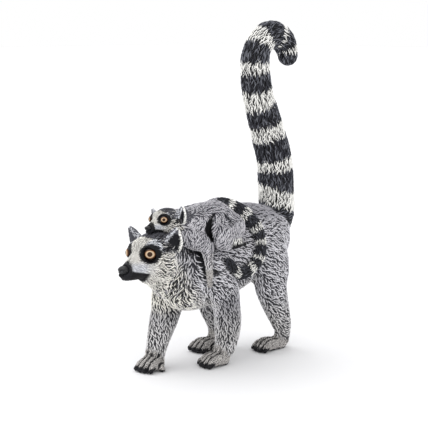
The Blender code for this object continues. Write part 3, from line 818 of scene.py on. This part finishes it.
def lay_locks(skin, spots, heading, size, bend):
    """Each lock walks over the skin from its root, and rises and narrows to a point."""
    tree = surface(skin.co, skin.triangles)
    _, run, width, height = size.T[:, :, None]
    place = spots
    rings = []
    for step in range(LOCK_STEPS + 1):
        found = [tree.find_nearest(p) for p in place.tolist()]
        ground = np.array([f[0] for f in found])
        normal = unit(skin.no[skin.triangles[[f[2] for f in found]]].sum(axis=1))
        heading = unit(heading - normal * (heading * normal).sum(axis=1, keepdims=True))
        side = np.cross(normal, heading)
        if step == 0:
            rings.append((ground - normal * BURIED)[:, None])
        elif step == LOCK_STEPS:
            rings.append((ground + normal * height * 0.45)[:, None])
        else:
            half = side * width / 2 * RING_WIDTH[step - 1]
            top = normal * height * RING_HEIGHT[step - 1]
            ring = [ground + half * a + top * r for a, r in zip(LOCK_ACROSS, LOCK_RISE)]
            rings.append(np.stack([*ring, ground - normal * BURIED], axis=1))
        heading = unit(heading + side * bend[:, None])
        place = ground + heading * run / LOCK_STEPS
    return np.concatenate(rings, axis=1)


def lock_pattern():
    """One lock's triangles, and each of its corners' lift, and place across and along it."""
    sides, rings = len(LOCK_ACROSS), LOCK_STEPS - 1
    faces = []
    for k in range(sides):
        n = (k + 1) % sides
        faces.append((0, 1 + n, 1 + k))
        for ring in range(1, 1 + sides * (rings - 1), sides):
            a, b = ring + k, ring + n
            faces += [(a, b, b + sides), (a, b + sides, a + sides)]
        last = 1 + sides * (rings - 1)
        faces.append((last + k, last + n, 1 + sides * rings))
    rise = np.maximum((*LOCK_RISE, 0), 0)
    lift = [0.0, *np.concatenate([rise * h for h in RING_HEIGHT]), 0.75]
    across = [0.0, *LOCK_ACROSS * rings, 0.0]
    along = [0.0, *np.repeat(np.arange(1, rings + 1) / LOCK_STEPS, sides), 1.0]
    return np.array(faces), np.array([lift, across, along])


LOCK_FACES, LOCK_CORNERS = lock_pattern()


def unwrapped(skin, node, spots):
    """Spots laid out flat, as if the node's skin were slit along its length."""
    around = skin.co[skin.region == node]
    middle = around.mean(axis=0)
    _, _, axes = np.linalg.svd(around - middle, full_matrices=False)
    own, local = (around - middle) @ axes.T, (spots - middle) @ axes.T
    turn = np.arctan2(local[:, 2], local[:, 1]) / (2 * np.pi) + 0.5
    low, high = own[:, 0].min(), own[:, 0].max()
    return 0.01 + 0.98 * np.stack([turn, np.clip((local[:, 0] - low) / (high - low), 0, 1)], axis=1)


def coat_piece(name, corners, roots, ridge, groove, tuft):
    """One mesh of many locks, with its paint, and an OFBake patch at each root's place."""
    count, size = corners.shape[:2]
    faces = (LOCK_FACES[None] + (np.arange(count) * size)[:, None, None]).reshape(-1, 3)
    piece = new_piece(name, corners.reshape(-1, 3), faces)
    keep_paint(piece, np.repeat(ridge, size, axis=0), np.repeat(groove, size, axis=0))
    lift, across, along = np.tile(LOCK_CORNERS, count)
    kept = {"lift": lift, "across": across, "along": along, "tuft": np.repeat(tuft, size)}
    for layer, values in kept.items():
        keep_values(piece, layer, values)
    flat = np.repeat(roots, size, axis=0) + PATCH * np.stack([across / 2, along - 0.5], axis=1)
    uv = piece.data.uv_layers.new(name="OFBake")
    uv.data.foreach_set("uv", flat[faces.ravel()].ravel())
    return piece


def coat_finish(name):
    """Dry-brushed fur: dark wash between the locks, and the light tone caught on their tops."""
    finish, ridge, groove, brush, patch = brushed(name)
    lift, tuft = finish.kept("lift"), finish.kept("tuft")
    strand = {"X": finish.kept("across") * 2.2, "Y": finish.kept("along"), "Z": tuft * 40}
    strand = finish.node("CombineXYZ", {}, strand)
    hair = finish.node("TexNoise", {}, {"Vector": strand, "Scale": 1.6, "Detail": 2.0})
    caught = (lift + (brush - 0.5) * 0.5 + (hair - 0.5) * 0.5 + (patch - 0.5) * 0.4).ease(0.30, 0.66)
    base = finish.blend(caught, groove, finish.blend(tuft * tuft * 0.22, ridge, groove))
    finish.wear(base, 0.62 - caught * 0.14 + patch * 0.12, hair + brush * 0.5, 0.05)
    return finish.material


def wear_coat(skin, sizes, head, paint, seed, left_bare):
    """Covers a skin with locks, as one coat piece for each of its nodes."""
    rng = np.random.default_rng(seed)
    size = lock_sizes(skin, sizes, head)
    triangle, share, spots = scatter(skin, size[:, 0], rng)
    worn = ~left_bare(spots)
    triangle, share, spots = triangle[worn], share[worn], spots[worn]
    normal = unit(at_spots(skin, skin.no, triangle, share))
    region = skin.region[skin.triangles[triangle, share.argmax(axis=1)]]
    heading = unit(at_spots(skin, skin.heading, triangle, share))
    heading = turned(heading, normal, rng.normal(size=len(spots)) * radians(11))
    size = at_spots(skin, size, triangle, share)
    size[:, 1:] *= rng.uniform(0.75, 1.25, (len(spots), 3))
    corners = lay_locks(skin, spots, heading, size, rng.normal(size=len(spots)) * 0.09)
    corners[:, :, 2] = np.maximum(corners[:, :, 2], 0.02)
    coat = Coat(skin, spots + heading * size[:, 1:2] * 0.4, normal, region, rng)
    paint(coat)
    tuft = rng.random(len(spots))
    for number, node in enumerate(skin.nodes):
        slot = next(s for word, s in COAT_SLOTS.items() if node.removeprefix("young_").startswith(word))
        own, left = region == number, spots[:, 0] > 0
        parts = {"": own}
        if own.sum() * len(LOCK_FACES) > MOST_TRIANGLES:
            parts = {"_left": own & left, "_right": own & ~left}
        for half, own in parts.items():
            flat = unwrapped(skin, number, spots[own])
            tones = coat.ridge[own], coat.groove[own]
            piece = coat_piece("coat_" + node + half, corners[own], flat, *tones, tuft[own])
            piece.data.materials.append(coat_paints[slot])
            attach(piece, "root")


COAT_SLOTS = {"head": "face_coat", "neck": "face_coat", "ear": "ear", "hand": "paw", "foot": "paw"}
COAT_SLOTS |= {"tail": "ringed_coat", "": "grey_coat"}
coat_paints = {slot: coat_finish("carved_" + slot) for slot in sorted(set(COAT_SLOTS.values()))}


def bare_on_face(spots, head):
    bare = np.zeros(len(spots), bool)
    for side in (-1, 1):
        bare |= length(spots - head.eye(side)[0]) < EYE_RADIUS * head.size * 1.18
    x, y, z = head.local(spots).T
    bare |= (y < -4.9) | ((y < 0.3) & (z < lip_top(y)) & (z > -6.7) & (np.abs(x) < 4))
    return bare & (length(head.local(spots)) < 9)


def bare_in_ears(spots, head):
    """Only the left ear's hollow and pale rim are left smooth."""
    root, tip, _ = head.ears["left"]
    near = length(head.local(spots) - np.add(root, tip) / 2) < 5.5
    across, rise, _, _ = ear_place(spots, spots * 0, head, "left")
    hollow = (across > -1.05 + 0.6 * rise) & (rise < 0.78)
    return near & (rise > 0.05) & (hollow | (across > 0.66) | (rise > 0.95))


def bare_on_grown(spots):
    bare = bare_on_face(spots, grown_head) | bare_in_ears(spots, grown_head)
    bare |= (spots[:, 2] < 0.12) | ((spots[:, 2] < 1.75) & (toe_reach(spots) < 0))
    bare |= (gap_to_creases(spots) < 0.34) | (length(spots - BY_THE_HAND + (0.3, 0.5, 0)) < 1.3)
    high = np.flatnonzero(spots[:, 2] > 22)
    bare[high] |= gap_to(young_solids, spots[high], 0.5) < 0.28
    return bare


wear_coat(grown, GROWN_LOCKS, grown_head, paint_grown, 12, bare_on_grown)

# ------------
# The grown lemur's eyes: round bosses of the same moulding, painted tan with a dark brown pupil and
# rim, and varnished. Each eye bulges a little over the pupil, with a fine ridge round the iris.

IRIS = radians(46)
PUPIL = radians(21)
EYE_BACK = radians(118)


def ball(slants, wide, look, across, up):
    """A ball of rings, then its front and back: the rings' corners and two angles, and the triangles."""
    slant, turn = np.meshgrid(slants, np.linspace(0, 2 * np.pi, wide, endpoint=False), indexing="ij")
    around = np.cos(turn)[..., None] * across + np.sin(turn)[..., None] * up
    out = np.cos(slant)[..., None] * look + np.sin(slant)[..., None] * around
    front = slant.size
    faces = []
    for i in range(wide):
        n = (i + 1) % wide
        faces += [(front, i, n), (front + 1, front - wide + n, front - wide + i)]
        for r in range(0, front - wide, wide):
            faces += [(r + i, r + i + wide, r + n + wide), (r + i, r + n + wide, r + n)]
    return out, slant, turn, np.array(faces)


def eyeball(name, node, head, side):
    """A ball with a bulge over the pupil and a fine ridge round the iris."""
    middle, look, up = head.eye(side)
    radius = EYE_RADIUS * head.size
    edge = IRIS * 1.25
    slants = np.concatenate([np.linspace(0.04, edge, 26), np.linspace(edge, EYE_BACK, 12)[1:]])
    out, slant, turn, faces = ball(slants, 64, look, np.cross(up, look), up)
    bulge = 0.035 * ease(slant, IRIS * 0.95, 0.0) + 0.012 * np.exp(-(((slant - IRIS) / 0.06) ** 2))
    rings = middle + out * (radius * (1 + bulge))[..., None]
    ends = middle + look * radius * 1.035, middle + look * radius * cos(EYE_BACK)
    piece = new_piece(name, np.concatenate([rings.reshape(-1, 3), ends]), faces)
    almond = slant * (1 + 0.34 * np.sin(turn) ** 2 * ease(slant, 0.3, 0.6))
    keep_values(piece, "slant", [*almond.ravel(), 0.0, EYE_BACK])
    keep_values(piece, "turn", [*turn.ravel(), 0.0, 0.0])
    piece.data.materials.append(amber)
    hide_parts(node)
    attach(piece, "root")


def eye_finish(name):
    finish = Finish(name, Coat_Weight=0.15, Coat_Roughness=0.08, Specular_IOR_Level=0.1)
    slant, turn = finish.kept("slant"), finish.kept("turn")
    rays = finish.node("CombineXYZ", {}, {"X": turn * 5.0, "Y": slant * 2.0})
    ray = finish.node("TexNoise", {}, {"Vector": rays, "Scale": 3.0, "Detail": 3.0})
    brush = finish.speckle(0.25)
    edge = slant + (brush - 0.5) * 0.1 + (ray - 0.5) * 0.06
    tan, dark_tan = (*linear(204, 184, 158), 1), (*linear(176, 148, 116), 1)
    base = finish.blend(ray.ease(0.35, 0.65), tan, dark_tan)
    for start, end, paint in (  # outwards from the pupil's edge, and then the pupil itself
        (IRIS * 0.84, IRIS * 1.02, (124, 80, 40)),
        (IRIS * 1.02, IRIS * 1.16, (54, 30, 14)),
        (IRIS * 1.2, IRIS * 1.5, (22, 17, 15)),
        (PUPIL * 1.25, PUPIL, (46, 24, 8)),
    ):
        base = finish.blend(edge.ease(start, end), base, (*linear(*paint), 1))
    finish.wear(base, 0.16 + brush * 0.12, ray, 0.01)
    return finish.material


amber = eye_finish("amber_eye")
for side, word in ((1, "left"), (-1, "right")):
    eyeball("eyeball_" + word, "eye_" + word, grown_head, side)

# ------------
# The grown lemur's nose: the bare leather at the muzzle's tip, part of the moulding and painted
# black, with two comma-shaped nostrils and a split down its middle to the lip.

NOSE_RADII = (1.75, 1.2, 1.25)
NOSTRIL = [(0.45, -1.22, -0.05), (0.85, -1.0, 0.05), (1.2, -0.62, -0.1), (1.25, -0.35, -0.42)]
SPLIT = [(0.0, -1.3, 0.35), (0.0, -1.35, -0.1), (0.0, -1.2, -0.55), (0.0, -0.9, -0.95)]


def nose_leather(name, node, head):
    rings, _, _, faces = ball(np.linspace(0.06, np.pi - 0.06, 36), 56, (0, 0, 1), (1, 0, 0), (0, 1, 0))
    rings = np.concatenate([rings.reshape(-1, 3), [(0, 0, 1), (0, 0, -1)]])
    out = unit(rings / NOSE_RADII)
    points = rings * NOSE_RADII
    points[:, 0] *= 1 - 0.22 * ease(points[:, 2], 0.0, -1.2)
    for side in (-1, 1):
        gap, _ = nearest_on(points, curve_through(np.multiply(NOSTRIL, (side, 1, 1))))
        lip = 0.10 * np.exp(-(((gap - 0.42) / 0.2) ** 2))
        points -= out * (0.34 * np.exp(-((gap / 0.22) ** 2)) - lip)[:, None]
    gap, _ = nearest_on(points, curve_through(SPLIT))
    points -= out * (0.16 * np.exp(-((gap / 0.13) ** 2)))[:, None]
    piece = new_piece(name, head.place(points + NOSE_PLACE), faces)
    piece.data.materials.append(leather)
    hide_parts(node)
    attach(piece, "root")


def leather_finish(name):
    finish = Finish(name, Specular_IOR_Level=0.3, Coat_Weight=0.12, Coat_Roughness=0.25)
    place = finish.node("TexCoord", {}, {}, "Object")
    pebble = {"Vector": place, "Scale": 1 / (0.22 * MM)}
    pebble = finish.node("TexVoronoi", {"feature": "F1"}, pebble)
    brush, patch = finish.speckle(0.3), finish.speckle(1.2, 2.0)
    # Painted sheen: lighter bluish grey blotches over the black, standing in for highlights on the leather.
    worn = (brush * 0.8 + patch * 0.6).ease(0.72, 1.0)
    base = finish.blend(worn * 0.6, (*linear(16, 16, 19), 1), (*linear(90, 92, 100), 1))
    finish.wear(base, 0.40 + brush * 0.2, pebble, 0.05)
    return finish.material


leather = leather_finish("nose_leather")
nose_leather("nose_pad", "nose", grown_head)

# ------------
# The young lemur: it lies along the grown one's back with its chin on the crown, in the same
# moulding. Its skin is made and painted as the grown animal's, at a finer scale.

YOUNG_DEPTHS = {"": 0.16, "head": 0.08, "ear": 0.08, "hand": 0.08, "foot": 0.08}
YOUNG_TAIL_LINE = curve_through([
    (1.66, -1.27, 46.4), (3.46, 0.73, 46.9), (5.46, 3.23, 46.1), (7.36, 5.53, 44.6), (8.86, 7.43, 42.5),
    (9.96, 8.93, 40.1), (10.56, 9.83, 37.2), (10.86, 10.03, 33.5), (10.96, 8.53, 29.8), (10.86, 5.33, 27.8),
    (10.86, 1.73, 27.2), (10.86, -1.47, 28.2), (10.86, -3.27, 30.6), (10.86, -4.17, 32.4),
])
YOUNG_RING_EDGES = [4.8, 6.7, 9.7, 11.7, 15.0, 16.9, 19.6, 21.3, 24.4, 26.0, 28.5, 30.8, 35.4, 37.6]
YOUNG_EARS = {
    "left": ((7.6, 6.4, -2.8), (9.9, 6.8, 6.2), (0.62, -0.78, 0.05)),
    "right": ((-7.6, 6.4, -2.8), (-10.6, 6.6, 4.6), (-0.40, -0.91, 0.05)),
}
# The fold is carved in deeper below, and painted black inside as painted shade.
FOLD = [  # the deep fold between the young's back and its thigh: a place on it, and its half-width
    (8.95, -7.3, 45.2, 0.25), (9.2, -8.5, 43.9, 0.6), (9.0, -9.3, 42.2, 0.85),
    (9.1, -9.6, 41.0, 0.85), (9.3, -9.4, 39.9, 0.7), (9.9, -8.9, 38.2, 0.35),
]
FOLD_FACING = unit((0.66, -0.72, 0.2))
TAIL_SHADE = [(9.5, -3.1, 44.5), (10.1, -2.5, 43.6), (10.8, -2.3, 42.2)]
YOUNG_LIE = {"": (0.1, -0.3, -1), "trunk": (0.1, -0.45, -1), "hand": (0, -0.3, -1), "foot": (0, 1, 0.1)}


def fold_gap(points):
    """How far outside the fold's edge each point is, as one looks into the fold."""
    line, width = np.split(curve_through(FOLD), [3], axis=1)
    _, nearest = nearest_on(points, line)
    away = points - line[nearest]
    deep = away @ FOLD_FACING
    return length(away - deep[:, None] * FOLD_FACING) - width[nearest, 0] + (np.abs(deep) > 2.2)


def paint_young(coat):
    x, y, z = coat.points.T
    coat.brush("soft", np.ones(len(z)))
    # Painted shade: a darker grey where the fur faces up.
    coat.brush("back", 0.6 * ease(coat.normals[:, 2], 0.35, 0.95))
    coat.brush("pale", 0.5 * coat.on("arm") * ease(z, 38, 30))
    coat.brush("beige", coat.on("hand"))
    toes = coat.on("foot", "leg") * ease(y, -3.8, -3.2) * ease(x, 10.5, 11.0)
    between = np.abs(((y + 3.4) / 0.85) % 1 - 0.5) > 0.36
    coat.brush("white", toes * ease(z, 38.1, 37.6) * ease(y, 1.4, 1.0))
    coat.brush("leather", toes * np.maximum(between * ease(z, 37.6, 37.3), ease(z, 36.5, 36.2)))
    shade, _ = nearest_on(coat.points, curve_through(TAIL_SHADE))
    coat.brush("black", coat.on("trunk", "leg") * ease(shade + coat.stray(0.12), 0.9, 0.5))
    root = coat.on("trunk") & (nearest_on(coat.points, YOUNG_TAIL_LINE)[0] < 2.5) & (y > -0.6) & (z > 44.5)
    paint_rings(coat, YOUNG_TAIL_LINE, YOUNG_RING_EDGES, root | coat.on("tail"))
    # Painted shade: the fold between the back and the thigh, painted black inside its carved hollow.
    gap = fold_gap(coat.points) + coat.stray(0.08)
    coat.brush("leather", coat.on("trunk", "arm", "leg") * ease(gap, 0.3, 0.0))
    paint_head(coat, young_head)
    # Painted shade: black where the young's fur lies close to the grown one.
    coat.brush("black", 0.8 * ease(gap_to(grown_surface, coat.points, 1.0), 0.9, 0.4))


young_head = Head("young_", (0.63, 0.60, 0.53), YOUNG_EARS)
young = Skin("young_skin", flesh_of(young=True), 0.20, 8, 0.75)
shape_skin(young, young_head, 1, EYE_RADIUS, YOUNG_DEPTHS)
into = ease(fold_gap(young.co), 0.3, -0.5) * young.where("trunk", "arm", "leg")
young.co -= FOLD_FACING * (1.3 * into)[:, None]
young.write()
grown_surface = surface(grown.co, grown.triangles)
finish_skin(young, young_head, YOUNG_LIE, YOUNG_TAIL_LINE, 18, paint_young, 21)

# ------------
# The young lemur's coat, eyes and nose: finer locks of the same carving, amber eyes and a black
# nose, all of one moulding with the rest.

YOUNG_LOCKS = {  # the same, on the trunk and legs and then elsewhere
    "": (0.38, 1.4, 0.32, 0.17), "arm": (0.37, 1.2, 0.31, 0.16), "tail": (0.38, 1.2, 0.31, 0.22),
    "head": (0.36, 0.8, 0.26, 0.11), "ear": (0.36, 0.9, 0.22, 0.09),
    "hand": (0.38, 0.7, 0.26, 0.08), "foot": (0.38, 0.7, 0.26, 0.08),
}


def bare_on_young(spots):
    bare = bare_on_face(spots, young_head) | bare_in_ears(spots, young_head)
    return bare | (gap_to(grown_surface, spots, 0.5) < 0.3) | (fold_gap(spots) < 0)


wear_coat(young, YOUNG_LOCKS, young_head, paint_young, 22, bare_on_young)
for side, word in ((1, "left"), (-1, "right")):
    eyeball("young_eyeball_" + word, "young_eye_" + word, young_head, side)
nose_leather("young_nose_pad", "young_nose", young_head)
